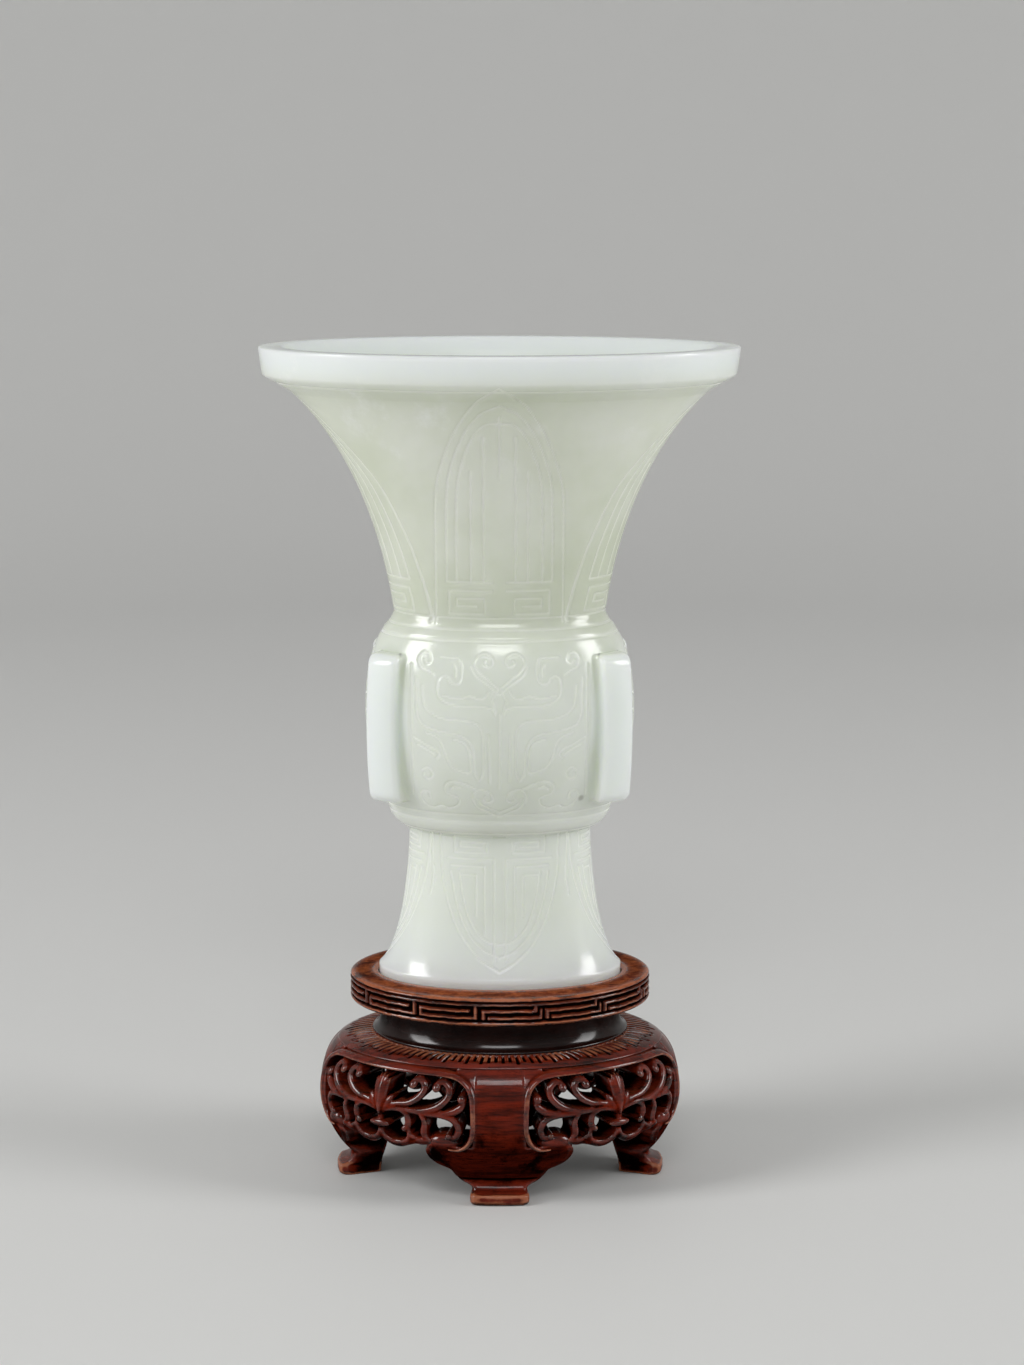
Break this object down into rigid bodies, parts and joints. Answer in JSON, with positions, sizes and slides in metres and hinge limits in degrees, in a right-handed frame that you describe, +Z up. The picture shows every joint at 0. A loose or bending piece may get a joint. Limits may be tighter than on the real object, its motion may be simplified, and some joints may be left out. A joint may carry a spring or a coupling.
{
  "type": "gu vase",
  "caption": "Flattened trumpet-mouthed jade gu vase with carved bands and upright flanges, standing in an oval footed stand of pierced hardwood.",
  "frame": {"origin": "on the table under the middle of the stand", "axes": "+Z up along the vase axis, +X along the oval's width, the carved front facing -Y"},
  "size_m": [0.1308, 0.0824, 0.2344],
  "materials": {
    "jade": "polished pale celadon jade",
    "worn_wood": "waxed red-brown hardwood, worn lighter along its edges",
    "dark_wood": "waxed near-black hardwood",
    "carved_wood": "waxed dark red-brown carved hardwood"
  },
  "bodies": {
    "stand": {"stand_rim": "worn_wood", "seat_panel": "dark_wood", "waist": "dark_wood", "shoulder": "carved_wood", "leg_front": "carved_wood", "leg_right": "carved_wood", "leg_back": "carved_wood", "leg_left": "carved_wood", "apron_front_right": "carved_wood", "apron_back_right": "carved_wood", "apron_back_left": "carved_wood", "apron_front_left": "carved_wood"},
    "vase": {"jade_vase": "jade"}
  },
  "joints": [
    {"name": "vase_lift", "type": "slide", "parent": "stand", "child": "vase", "axis": [0, 0, 1], "range_m": [0, 0.06]}
  ]
}
